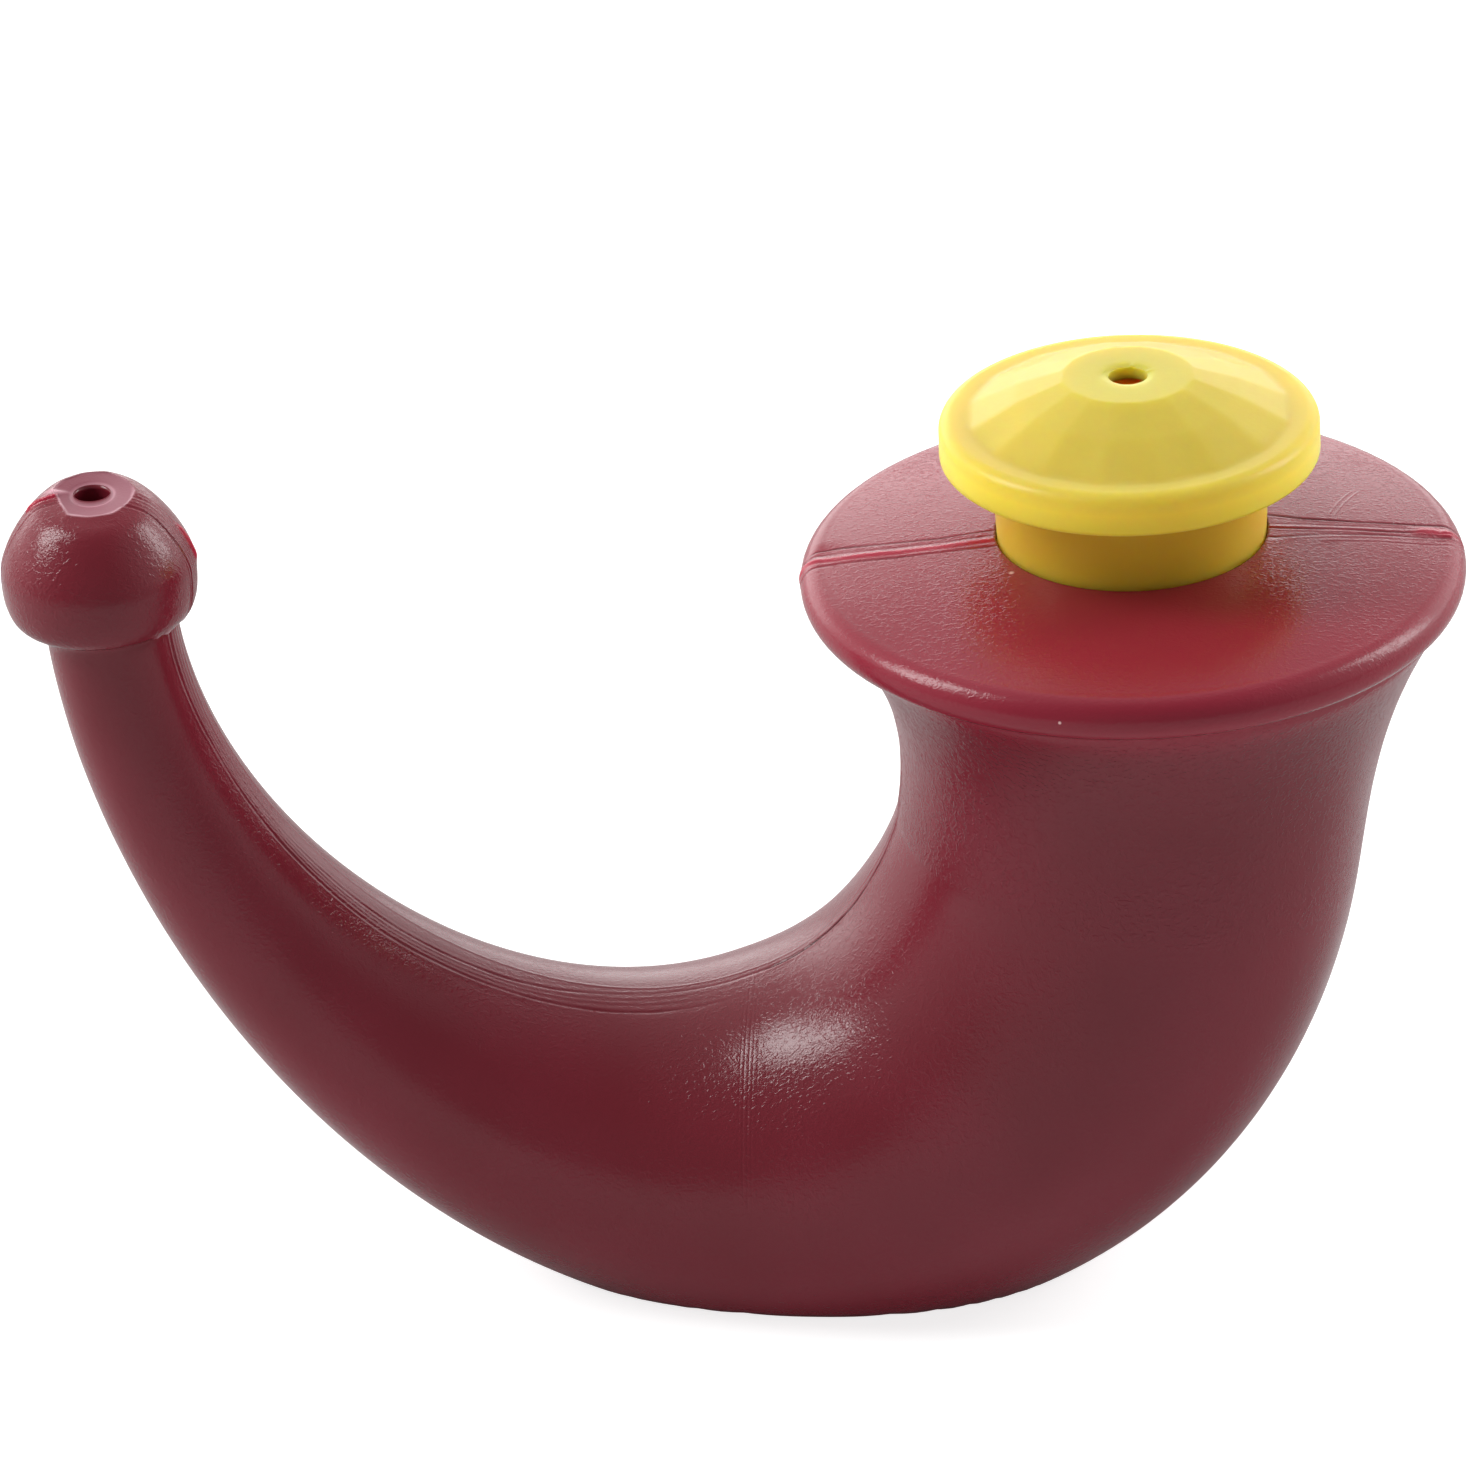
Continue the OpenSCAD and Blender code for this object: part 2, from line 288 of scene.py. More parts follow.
skin = circle_points(row, angle)
is_inside = np.isin(part, ["inside", "bore"])[:, None]
foot_soft, hollow_soft = 0.35, 0.8
outer_z = flatten_below(skin[..., 2], 0.0, foot_soft)
inner_z = flatten_below(skin[..., 2], wall, hollow_soft)
skin[..., 2] = np.where(is_inside, inner_z, outer_z)
print("foot is", round(float(np.ptp(skin[..., 0][skin[..., 2] < 1e-6])), 1), "mm long")

# %% [markdown]
# ## The knife's cut at the nozzle
# The nozzle was cut open with a knife after moulding. The cut leans a few degrees to one
# side, runs straight along one edge and left a small burr there. A share tells how near a
# ring is to the cut's edge, and so how much of the edge's shape it takes on.

# %% Cut the bulb's face
def bell(x, width):
    """Exponential of minus the square of x over width."""
    return np.exp(-((x / width) ** 2))


cut_edge = run[np.flatnonzero(part == "bulb")[0]]
from_edge = (run - cut_edge)[:, None]
on_face = (part == "face")[:, None]
on_bulb = np.isin(part, ["bulb", "face"])[:, None]
share_width, lean_width = 1.3, 3.0
share = on_bulb * bell(from_edge, share_width)

# The straight edge lies chord_r from the axis and faces chord_turn.
chord_r, chord_turn = 3.5, math.radians(201.5)
off = np.abs(np.mod(angle - chord_turn + np.pi, 2 * np.pi) - np.pi)
straight = np.minimum(1.0, chord_r / tip_r / np.maximum(np.cos(off), 0.2))
ragged = 1 + 0.012 * np.sin(5 * angle + 1) + 0.008 * np.sin(11 * angle)
squeeze = 1 - share * (1 - straight * ragged)
skin[..., 0] = np.where(on_bulb, nozzle_x + (skin[..., 0] - nozzle_x) * squeeze, skin[..., 0])
skin[..., 1] = np.where(on_bulb, skin[..., 1] * squeeze, skin[..., 1])

# %% Lean the cut and leave the burr
cut_lean, burr_turn, burr_width, burr_h = 0.10, math.radians(169), 0.10, 0.22
lean_share = on_bulb * np.where(from_edge < 0, 1.0, bell(from_edge, lean_width))
skin[..., 2] -= lean_share * cut_lean * (tip_r - skin[..., 1])
burr = bell(off - abs(chord_turn - burr_turn), burr_width) * (angle < chord_turn)
skin[..., 2] += burr_h * share * burr
print("cut face leans", round(math.degrees(math.atan(cut_lean)), 1), "degrees")

# %% [markdown]
# ## The mould's traces
# Where the halves of the mould met, a thin fin and a band of fine ridges and grooves run
# round the whole pot. They are drawn as a height over the skin. A hump function says where
# along the pot each trace is strong: the fin stands up most beside the cut, on the bulb's
# side, and it lies over as a lump on the disc's outer rim.

# %% Where each trace is strong
def hump(x, start, end, soft):
    """Half of tanh((x - start) / soft) minus tanh((x - end) / soft): 1 between, 0 outside."""
    return 0.5 * (np.tanh((x - start) / soft) - np.tanh((x - end) / soft))


def wander(s, step, phase):
    """Slow swing between -1 and 1: three sines whose lengths don't share a factor."""
    turns = (s / step + phase, s / (step * 0.37) + 2.3 * phase, s / (step * 1.93) + phase)
    return sum(np.sin(turn) for turn in turns) / 3


level, ring_r = row[:, 1], row[:, 4]
bulb, spout, bowl, neck, rim_part, disc = (
    part == name for name in ("bulb", "spout", "bowl", "neck", "rim", "disc"))
on_tube, on_disc = bulb | spout | bowl | neck, disc | rim_part

# The tall part of the fin: from which height to which, and how softly it ends.
tall_span_in, tall_span_out = (87.0, 91.0, 0.35), (93.3, 95.7, 0.25)
tall_in, tall_out = bulb * hump(level, *tall_span_in), bulb * hump(level, *tall_span_out)
print("tall fin on", int((tall_in > 0.5).sum()), "inner and", int((tall_out > 0.5).sum()), "outer rings")

# %% [markdown]
# Each trace follows a path. A path gives y, the distance from the mould's plane, at a few
# stations: on the tube they are distances run from the nozzle, on the disc distances from
# the mouth's axis. Between them it drifts a little, so that no trace is a ruled line.

# %% One trace along a path
y = skin[..., 1]


def path_of(at, *stations):
    """Straight lines between (station, y) pairs, read at every ring."""
    where, place = zip(*stations)
    return np.interp(at, where, place)


drift_y, drift_step, swing_step = 0.05, 3.5, 4.5
mean_tall, swing_tall = 0.85, 0.6


def trace(path, tall, wide, strength, phase):
    """Bell across y round the path; its place and height wander with the run."""
    middle = path + drift_y * wander(run, drift_step, phase)
    swing = mean_tall + swing_tall * wander(run, swing_step, 1.7 * phase)
    return (tall * strength * swing)[:, None] * bell(y - middle[:, None], wide)


# %% [markdown]
# On the tube the band has a deep groove along each edge and finer lines between. Down the
# spout the front groove is the deep one, round the bend both are, and up the neck only the
# back one is left, with a sharp lip in front of it.

# %% Paths and strengths of the band
inner_front = path_of(run, (6, -2.5), (29, -2.9), (32, -3.15), (48, -3.0), (62, -3.4),
                      (82, -4.15), (125, -4.25))
inner_back = path_of(run, (6, -0.8), (29, -1.1), (55, -1.9), (84, -2.55), (104, -2.3), (118, -1.5),
                     (132, -1.1), (166, -1.05), (184, -1.5), (203, -1.0), (240, -1.3))
outer_front, outer_back = np.full_like(run, -1.3), np.full_like(run, 0.9)

inner_on = on_tube * (1 + 0.6 * bulb)
inner_strength = {
    "front": inner_on * hump(run, 5, 137, 6),
    "fine": 0.65 * inner_on * (hump(run, 5, 135, 9) + 0.25 * hump(run, 135, 160, 9)),
    "back": inner_on * (0.4 + 0.6 * hump(run, 78, 114, 5) + 0.9 * hump(run, 150, 228, 6)),
}
outer_strength = {"front": 0.8 * on_tube, "fine": 0.7 * on_tube, "back": 0.6 * on_tube}
lip_strength = on_tube * hump(run, 150, 232, 6)
print("the neck's lip runs over", int((lip_strength > 0.5).sum()), "rings")

# %% The band's lines: which strength, share of the way from front to back, height, width
band_lines = (
    ("front", -0.17, 0.045, 0.15), ("front", 0.0, -0.105, 0.14), ("fine", 0.16, 0.040, 0.13),
    ("fine", 0.33, -0.040, 0.12), ("fine", 0.49, 0.036, 0.13), ("fine", 0.63, -0.034, 0.12),
    ("fine", 0.80, 0.034, 0.13), ("back", 1.0, -0.100, 0.14), ("fine", 1.18, 0.030, 0.14),
    ("fine", 1.42, -0.024, 0.14),
)


def band(front, back, strength):
    """Sum of the band's lines; each lies at a share of the way from front to back."""
    return sum(trace(front + way * (back - front), tall, wide, strength[name], 9 * way)
               for name, way, tall, wide in band_lines)


inner_tube = band(inner_front, inner_back, inner_strength)
inner_tube += trace(inner_back - 0.45, 0.06, 0.20, lip_strength, 4.0)
inner_tube += trace(inner_back, -0.13, 0.24, lip_strength, 4.0)
outer_tube = band(outer_front, outer_back, outer_strength)
print("deepest groove on the tube", round(float(inner_tube.min()), 2), "mm")

# %% [markdown]
# On the disc's inner side one red fold stands up between two thin grooves, and all three
# run together at the rim. On its outer side several low lines lead to the red lump.

# %% The lines on the disc: path, height, width
fold = path_of(ring_r, (15, -1.2), (20, -1.35), (25, -0.9), (30, 0.0), (35, 0.9))
fold_back = path_of(ring_r, (16, 0.8), (20, 0.55), (26, 1.35), (31, 2.45), (33.5, 2.55), (35, 1.6))
fold_front = path_of(ring_r, (15, -2.4), (20, -2.3), (25, -1.9), (30, -0.95), (35, -0.5))
inner_disc_lines = (
    (fold, 0.19, 0.46), (fold + 0.95, -0.05, 0.17), (fold - 0.95, 0.05, 0.16),
    (fold_back, -0.11, 0.15), (fold_back - 0.3, 0.03, 0.14),
    (fold_front, 0.045, 0.16), (fold_front - 0.36, -0.06, 0.14),
)

crease = path_of(ring_r, (15, -1.25), (20, -1.0), (26, -0.5), (31, 0.1), (35, 0.5))
crease_back = path_of(ring_r, (14.5, 1.75), (18, 1.15), (24, 1.2), (30, 1.9), (32.7, 2.4), (35, 1.8))
crease_front = path_of(ring_r, (15.5, -3.3), (20.5, -2.15), (26, -1.4), (31, -0.95), (35, -0.1))
outer_disc_lines = (
    (crease, -0.10, 0.14), (crease + 0.38, 0.04, 0.17), (crease - 0.38, 0.035, 0.16),
    (crease + 0.9, -0.04, 0.13), (crease_back, -0.13, 0.14), (crease_back - 0.33, 0.035, 0.14),
    (crease_front, -0.075, 0.14), (crease_front - 0.4, 0.035, 0.15),
    (crease_front - 1.25, 0.035, 0.15), (crease_front - 1.55, -0.03, 0.14),
)


def disc_lines(lines):
    """Sum of the traces over the disc and its rim."""
    return sum(trace(path, tall, wide, on_disc, 1.3 * k) for k, (path, tall, wide) in enumerate(lines))


inner_disc, outer_disc = disc_lines(inner_disc_lines), disc_lines(outer_disc_lines)
print("the fold stands", round(float(inner_disc.max()), 2), "mm over the disc")

# %% The lump on the rim
lump_h, lump_half, lump_span = 0.21, 0.75, (29.8, 34.2, 0.45)
lump_path = path_of(ring_r, (29, 0.3), (32, 0.75), (35, 0.45))[:, None]
lump_side = (on_disc * hump(ring_r, *lump_span) * (level > disc_h - rim_r))[:, None]
lump = lump_side * hump(y - lump_path, -lump_half, lump_half, 0.16)
print("lump covers", int((lump > 0.5).sum()), "points")

# %% [markdown]
# Where the bulb tucks in to the spout, the mould pinched out a small ragged flake. It is a low
# ridge at one height, over a short stretch of angles, with teeth from a fast sine.

# %% The flake under the bulb
flake_h, flake_level, flake_width, flake_teeth = 0.22, 81.3, 0.22, 35
flake_from, flake_to, flake_soft = 5.42, 5.86, 0.04
flake = on_bulb * bell(level[:, None] - flake_level, flake_width)
flake = flake * hump(angle, flake_from, flake_to, flake_soft)
flake = flake * (0.6 + 0.4 * np.sin(flake_teeth * angle))
print("flake spans", round(math.degrees(flake_to - flake_from)), "degrees")

# %% [markdown]
# The fin itself lies on the mould's plane. Everything is then laid over the skin along the
# direction in which the skin faces.

# %% Lay the traces over the skin
fin_width = 0.17
fin_in = 0.05 * on_tube + 0.27 * tall_in
fin_out = 0.06 * on_tube + 0.30 * tall_out
lump_swing = 1 + 0.25 * wander(run, 0.9, 2.0)[:, None]

height = np.where(outer_half, outer_tube, inner_tube)
height += np.where(outer_half, outer_disc, inner_disc)
height += np.where(outer_half, fin_out[:, None], fin_in[:, None]) * bell(y, fin_width)
height += flake_h * flake
height += np.where(outer_half, lump_h * lump * lump_swing, 0.0)


def grid_normals(p):
    """Cross product of the differences to both neighbours, on a grid closed both ways."""
    along = np.roll(p, -1, 0) - np.roll(p, 1, 0)
    around = np.roll(p, -1, 1) - np.roll(p, 1, 1)
    n = np.cross(along, around)
    return n / np.maximum(np.linalg.norm(n, axis=-1, keepdims=True), 1e-12)


def inside_box(points, node):
    """Trims points to the box of a solid node, so that no trace stands out of it."""
    low, high = (np.array(corner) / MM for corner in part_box(node))
    return np.clip(points, low, high)


skin = inside_box(skin + grid_normals(skin) * height[..., None], "horn")
print("traces stand up to", round(float(height.max()), 3), "mm proud")

# %% [markdown]
# ## From a grid to a mesh
# The points of both pieces lie on a grid that closes both ways, like a ring-shaped cake. A
# square joins each point to its neighbours in the next column and the next ring.

# %% Make a closed mesh from a closed grid
def closed_mesh(name, points, marks):
    """Squares between neighbours on a grid closed both ways, flipped if they face inwards."""
    rings, columns = points.shape[:2]
    index = np.arange(rings * columns).reshape(rings, columns)
    up = np.roll(index, -1, 0)
    quads = np.stack([index, up, np.roll(up, -1, 1), np.roll(index, -1, 1)], axis=-1).reshape(-1, 4)
    p = points.reshape(-1, 3)
    a, b, c, d = (p[quads[:, k]] for k in range(4))
    volume = np.einsum("ij,ij->", a, np.cross(b, c)) + np.einsum("ij,ij->", a, np.cross(c, d))
    if volume < 0:
        quads = quads[:, ::-1]
    mesh = bpy.data.meshes.new(name)
    mesh.vertices.add(len(p))
    mesh.vertices.foreach_set("co", (p * MM).astype(np.float32).ravel())
    mesh.loops.add(quads.size)
    mesh.loops.foreach_set("vertex_index", quads.astype(np.int32).ravel())
    mesh.polygons.add(len(quads))
    mesh.polygons.foreach_set("loop_start", np.arange(0, quads.size, 4, dtype=np.int32))
    mesh.update(calc_edges=True)
    mesh.shade_smooth()
    if marks is not None:
        colour = mesh.color_attributes.new("marks", "FLOAT_COLOR", "POINT")
        colour.data.foreach_set("color", marks.astype(np.float32).ravel())
    piece = bpy.data.objects.new(name, mesh)
    bpy.context.scene.collection.objects.link(piece)
    print(name, "has", 2 * len(quads), "triangles and holds", round(abs(volume) / 6000, 2), "ml of plastic")
    return piece


# %% [markdown]
# ## Marks for the material
# A colour attribute tells the material four numbers at every point of the mesh. The first
# paints light and shade into the red. A clear red is a painted glow, which stands in for the
# light that shines through thin plastic, as in the fin, the fold, the lump and the thin disc.
# In the bottoms of the deep grooves it goes below zero, which paints shade there, because
# they look nearly black.

# %% Painted glow where thin, painted shade in the grooves
crease_fades = on_disc * hump(ring_r, 10, 27, 2)
red_fin = np.where(outer_half, tall_out[:, None], tall_in[:, None]) * bell(y, 0.30)
red_lip = 0.25 * lip_strength[:, None] * bell(y - inner_back[:, None] + 0.22, 0.22)
red_fold = 0.6 * on_disc[:, None] * bell(y - fold[:, None] + 0.1, 0.50)
red_crease = 0.25 * crease_fades[:, None] * bell(y - crease[:, None], 0.3)
red = red_fin + np.where(outer_half, red_crease + 0.65 * lump, red_lip + red_fold)

# Painted glow: the disc and the throat just under it are lifted towards the clear red, as if light shone
# through their thin wall.
disc_glow, throat_from = 0.25, disc_h - rim_t - 2.5
thin_glow = disc_glow * np.where(on_disc, 1.0, neck * hump(level, throat_from, 200, 1.5))
red = np.clip(red + (1 - red) * thin_glow[:, None], 0, 1)

# Painted shade: the deep grooves on the disc, its rim and the neck's lip are darkened towards black.
full_groove = 0.10
groove = (on_disc + lip_strength)[:, None] * np.clip(-height / full_groove - 0.25, 0, 1)
glow_and_shade_mark = red * (1 - groove) - groove
print("red mark from", round(float(glow_and_shade_mark.min()), 2), "to", round(float(glow_and_shade_mark.max()), 2))

# %% [markdown]
# The second number marks the cut face. The third marks pale plastic: a hair-thin line where
# the knife turned the face's edge, another round the bore, the burr and the flake. The lines
# are stronger beside the straight edge and at the lower right, where the knife left the bulb.

# %% The cut and its pale edges
lower_right = 0.5 + 0.5 * np.cos(angle + 0.8)
face_line = bell(from_edge, 0.14) * (0.25 + 0.5 * bell(off, 0.9) + 0.15 * np.sin(7 * angle + 2))
bore_line = bell(ring_r[:, None] - bore_r - sink, 0.18) * (0.25 + 0.4 * lower_right)
cut_mark = on_face * np.ones_like(y)
edge_mark = on_bulb * face_line + share * burr + 0.6 * flake
edge_mark = edge_mark + on_face * (0.28 * lower_right + bore_line)
print("pale edges on", int((edge_mark > 0.5).sum()), "points")

# %% [markdown]
# The fourth number says how leathery the skin is. The mould was blasted unevenly: the neck is
# roughest, above all on its left side, while the spout and the bowl are nearly smooth. On the
# disc it is roughest at the back and on both sides of the collar, and calm in front.

# %% How leathery each part is
leather_of = {"spout": 0.34, "bulb": 0.50, "bowl": 0.33, "neck": 0.75, "rim": 0.26, "disc": 0.50}
more_left, more_collar, more_back, less_front = 0.6, 0.22, 0.2, 0.28
to_left, to_back = np.cos(angle), np.sin(angle)
near_collar = bell(ring_r - mouth_r, 8.0)[:, None]

leathery = sum(amount * (part == name) for name, amount in leather_of.items())[:, None]
leathery = leathery + more_left * (neck + 0.2 * bowl)[:, None] * np.maximum(to_left, 0)
uneven = more_collar * near_collar * to_left**2 + more_back * np.maximum(to_back, 0)
uneven = uneven - less_front * np.maximum(-to_back, 0) ** 2
leathery = leathery + disc[:, None] * uneven
print("leather from", round(float(leathery.min()), 2), "to", round(float(leathery.max()), 2))

# %% The pot's mesh
marks = np.stack([glow_and_shade_mark, cut_mark, np.clip(edge_mark, 0, 1), leathery], axis=-1)
pot = closed_mesh("pot", skin, marks)

# %% [markdown]
# ## The stopper
# The stopper is turned, but its cap is cut into flats like a gem. One outline gives radius
# and height, from the plug's lower edge up the collar, round the brim, over the cap, down
# through the air hole and back inside. A third number says how faceted each ring is.

# %% The stopper's sizes
# Brim: radius, thickness, height over the disc, rounding below, rounding of its crest.
brim_r, brim_t, brim_h, brim_round, brim_crest = 19.9, 4.6, 11.4, 0.6, 1.4
# Plug: taper for each millimetre of height, length below the disc's edge, wall.
draft, plug_l, stopper_wall = 0.05, 8.0, 1.8
# Cap: rise over the brim, radius of its foot, radius of its flat top, number of flats.
cap_h, cap_r, cap_flat_r, cap_flats = 4.4, 16.9, 6.9, 16
# Radius of the air hole, gap between plug and mouth, turn of the flats.
vent_r, fit_gap, cap_turn = 2.05, 0.05, math.radians(9.0)

plug_end, brim_under = disc_h - plug_l, disc_h + brim_h
brim_top = brim_under + brim_t
stopper_top = brim_top + cap_h


def plug_radius(z):
    """Radius of the plug, which grows a little with height."""
    return mouth_r - fit_gap + draft * (z - crown_z(mouth_r))


def faceted(outline, amount=0):
    """Adds the third number, how far the ring follows the flats."""
    outline = np.asarray(outline, float)
    return np.column_stack([outline, amount * np.ones(len(outline))])


# %% [markdown]
# The cap's slope bends in the middle and at both ends. The mould is polished there, so the
# bends are soft. A running mean over a straight-sided profile rounds them all at once.

# %% Profile of the cap
fine_count, mean_over = 400, 33
fine_r = np.linspace(brim_r - brim_crest - 0.1, vent_r + 1.6, fine_count)
corners_r = [vent_r, cap_flat_r, (cap_flat_r + cap_r) / 2, cap_r, brim_r]
corners_z = [stopper_top, stopper_top, brim_top + 0.58 * cap_h, brim_top, brim_top]
window = np.hanning(mean_over) / np.hanning(mean_over).sum()
straight_z = np.interp(fine_r, corners_r, corners_z)
soft_z = np.convolve(np.pad(straight_z, mean_over // 2, mode="edge"), window, mode="valid")

# %% Few rings on the straight slopes, more where the profile bends
bends = np.flatnonzero(np.abs(np.gradient(np.gradient(soft_z))) > 6e-5)
pick = np.unique(np.r_[0 : fine_count - 1 : 12, bends[::3], fine_count - 1])
cap_skin = np.column_stack([fine_r, soft_z])[pick]
facets_at = [cap_flat_r - 0.7, cap_flat_r + 0.3, cap_r - 0.3, cap_r + 0.6]
cap_facets = np.interp(cap_skin[:, 0], facets_at, [0, 1, 1, 0])
print(len(cap_skin), "rings over the cap")

# %% Outline of the stopper
collar_z = np.concatenate([[plug_end + 0.6], np.linspace(plug_end + 2, brim_under - 0.3, 12)])
collar_r, foot_r = plug_radius(brim_under), plug_radius(plug_end)
collar_top = [[collar_r + 0.25, brim_under - 0.05], [collar_r + 0.6, brim_under]]
brim_low = arc(brim_r - brim_round, brim_under + brim_round, brim_round, -90, 0, 6)
brim_side = [[brim_r, z] for z in np.linspace(brim_under + 1, brim_top - brim_crest - 0.2, 4)]
brim_high = arc(brim_r - brim_crest, brim_top - brim_crest, brim_crest, 0, 90, 10)

vent_round, inner_r = 0.15, foot_r - stopper_wall
ceiling_z, under_top = brim_top - stopper_wall, stopper_top - 0.85 * stopper_wall
vent_edge = arc(vent_r + vent_round, stopper_top - vent_round, vent_round, 90, 180, 4)
vent_wall = [[vent_r, z] for z in np.linspace(stopper_top - 0.4, under_top + 0.1, 4)]
inner_wall = [[inner_r, z] for z in np.linspace(ceiling_z - 2, plug_end + 0.1, 6)]

outline = np.vstack([
    faceted([[inner_r + 0.1, plug_end], [foot_r - 0.6, plug_end]]),
    faceted(np.column_stack([plug_radius(collar_z), collar_z])),
    faceted(collar_top),
    faceted([[brim_r - 2.4, brim_under]]),
    faceted(brim_low),
    faceted(brim_side),
    faceted(brim_high),
    faceted(cap_skin, cap_facets),
    faceted([[3.0, stopper_top], [vent_r + 0.35, stopper_top]]),
    faceted(vent_edge),
    faceted(vent_wall),
    faceted([[vent_r + 0.1, under_top], [cap_flat_r - stopper_wall, under_top]]),
    faceted([[inner_r - 0.6, ceiling_z], [inner_r, ceiling_z - 0.6]]),
    faceted(inner_wall),
])
print("stopper is", 2 * brim_r, "mm across and", round(stopper_top - plug_end, 1), "mm tall")

# %% [markdown]
# A regular polygon with its corners on a circle has the radius cos(half a side) over
# cos(angle from the side's middle). Multiplying a ring's radius by that cuts it into flats.
# The mean over a few neighbouring angles rounds the edges between the flats. A tiny burr of
# plastic is left on the far edge of the air hole.

# %% Flats round the cap
def flats(angle, count, turn):
    """cos(pi/count) over cos(angle from the middle of the nearest side)."""
    step = 2 * np.pi / count
    off = np.mod(angle - turn, step) - step / 2
    return np.cos(step / 2) / np.cos(off)


columns, edge_softness = 256, 2.0
column = np.linspace(0, 2 * np.pi, columns, endpoint=False)
nearby = np.radians(np.linspace(-edge_softness, edge_softness, 9))
softened = sum(flats(column + turn, cap_flats, cap_turn) for turn in nearby) / len(nearby)
ring_radius = outline[:, 0:1] * (1 + outline[:, 2:3] * (softened - 1))

# %% The burr of the air hole, and the stopper's mesh
at_vent = bell(outline[:, 0:1] - vent_r - vent_round, 0.2) * (outline[:, 1:2] > stopper_top - 0.2)
vent_burr = 0.16 * bell(column - 1.35, 0.13) + 0.10 * bell(column - 0.35, 0.10)
ring_z = outline[:, 1:2] + at_vent * (vent_burr - 0.16)
stopper_x, stopper_y = mouth_x + ring_radius * np.cos(column), ring_radius * np.sin(column)
stopper_skin = np.stack([stopper_x, stopper_y, ring_z], axis=-1)
stopper_piece = closed_mesh("stopper_skin", stopper_skin, None)

# %% [markdown]
# ## Materials
# A node material is a small sum. The helpers make a node and join numbers or other nodes to
# it. All patterns sit on the object's own coordinates, in metres, so they stay in place.

# %% Helpers for node recipes
def new_material(name):
    """Empty node material; returns its tree, its surface shader and its coordinates."""
    material = bpy.data.materials.new(name)
    material.use_nodes = True
    tree = material.node_tree
    return material, tree, tree.nodes["Principled BSDF"], tree.nodes.new("ShaderNodeTexCoord")


def put(tree, socket, value):
    """Joins another node's socket to this one, or sets a plain value on it."""
    if isinstance(value, bpy.types.NodeSocket):
        tree.links.new(value, socket)
    else:
        socket.default_value = value


def add(tree, kind, settings=None, **inputs):
    """New node. Inputs are named after its sockets, or i0, i1 and so on by their number."""
    made = tree.nodes.new("ShaderNode" + kind)
    for key, value in (settings or {}).items():
        setattr(made, key, value)
    for key, value in inputs.items():
        by_number = key[0] == "i" and key[1:].isdigit()
        put(tree, made.inputs[int(key[1:]) if by_number else key.replace("_", " ")], value)
    return made


def math_of(tree, operation, a, b=0.0):
    """Result of one operation on two values."""
    return add(tree, "Math", {"operation": operation}, i0=a, i1=b).outputs[0]


def ramp_of(tree, value, low, high, to_low=0.0, to_high=1.0):
    """Straight ramp from one range to another, held at its ends."""
    return add(tree, "MapRange", {"clamp": True}, Value=value, From_Min=low, From_Max=high,
               To_Min=to_low, To_Max=to_high).outputs[0]


def mix_of(tree, share, a, b):
    """Colour a where share is 0 and b where it is 1."""
    made = tree.nodes.new("ShaderNodeMix")
    made.data_type = "RGBA"
    for number, value in ((0, share), (6, a), (7, b)):
        put(tree, made.inputs[number], value)
    return made.outputs[2]


# %% [markdown]
# ## Wine-red plastic
# The plastic is coloured all through. Its red drifts a little over the pot. Where the marks
# say so it turns to a clear red, a painted glow of light through thin plastic, to a painted
# shade in the bottom of a groove, to the dull pink of the cut or to the pale line at the cut's
# edge. Each is a mix, one after the other.

# %% Colours of the wine-red plastic
wine_low, wine_high = (0.150, 0.0120, 0.021, 1), (0.178, 0.0145, 0.027, 1)
groove_shade, glow_red = (0.03, 0.003, 0.006, 1), (0.46, 0.018, 0.050, 1)
cut_pink, edge_pale = (0.175, 0.030, 0.050, 1), (0.60, 0.32, 0.37, 1)

plastic, tree, shader, place = new_material("wine_red_plastic")
spot = place.outputs["Object"]
mark = add(tree, "Attribute", {"attribute_name": "marks"})
glow_and_shade, is_cut, is_edge = add(tree, "SeparateColor", Color=mark.outputs["Color"]).outputs[:3]

drift = add(tree, "TexNoise", Vector=spot, Scale=38.0, Detail=2.0).outputs["Fac"]
colour = mix_of(tree, ramp_of(tree, drift, 0.35, 0.65), wine_low, wine_high)
# Painted shade in the grooves, then the painted glow where the plastic is thin.
colour = mix_of(tree, ramp_of(tree, glow_and_shade, -1.0, 0.0, 0.65, 0.0), colour, groove_shade)
colour = mix_of(tree, glow_and_shade, colour, glow_red)
colour = mix_of(tree, is_cut, colour, cut_pink)
colour = mix_of(tree, is_edge, colour, edge_pale)

# %% [markdown]
# A few pale specks of dust were moulded in. Each is a small ball round a point.

# %% Specks: middle, radius
specks = (
    ((29.0, -8.9, 85.9), 0.42), ((32.9, -33.8, 81.1), 0.20),
    ((47.8, -14.9, 86.0), 0.22), ((57.3, -29.2, 83.9), 0.26),
)
dust_pale = (0.72, 0.45, 0.45, 1)


def distance_of(tree, spot, middle_mm):
    """Distance of the shaded spot from a point given in millimetres."""
    middle = [c * MM for c in middle_mm]
    return add(tree, "VectorMath", {"operation": "DISTANCE"}, i0=spot, i1=middle).outputs["Value"]


dust = 0.0
for middle, size in specks:
    away = distance_of(tree, spot, middle)
    dust = math_of(tree, "ADD", ramp_of(tree, away, 0.5 * size * MM, size * MM, 1.0, 0.0), dust)
tree.links.new(mix_of(tree, dust, colour, dust_pale), shader.inputs["Base Color"])
print(len(specks), "specks of dust")

# %% [markdown]
# ## Leathery skin
# Blown plastic copies the mould's skin, which is leathery here: creases half a millimetre
# apart that only show where light glances off. They are far finer than the mesh, so they are
# bump. They come from noise whose coordinates a second noise pushes about. Where the value
# crosses its middle there is a narrow valley. A slow noise makes some patches calm, and the
# fourth mark in the mesh says how strong the leather is on each part.

# %% Leathery relief
stretch_by, push = (0.75, 1.15, 0.8), (0.7 * MM, 0.7 * MM, 0.7 * MM)
valley_half, valley_depth, grain_share = 0.11, 0.26, 0.12

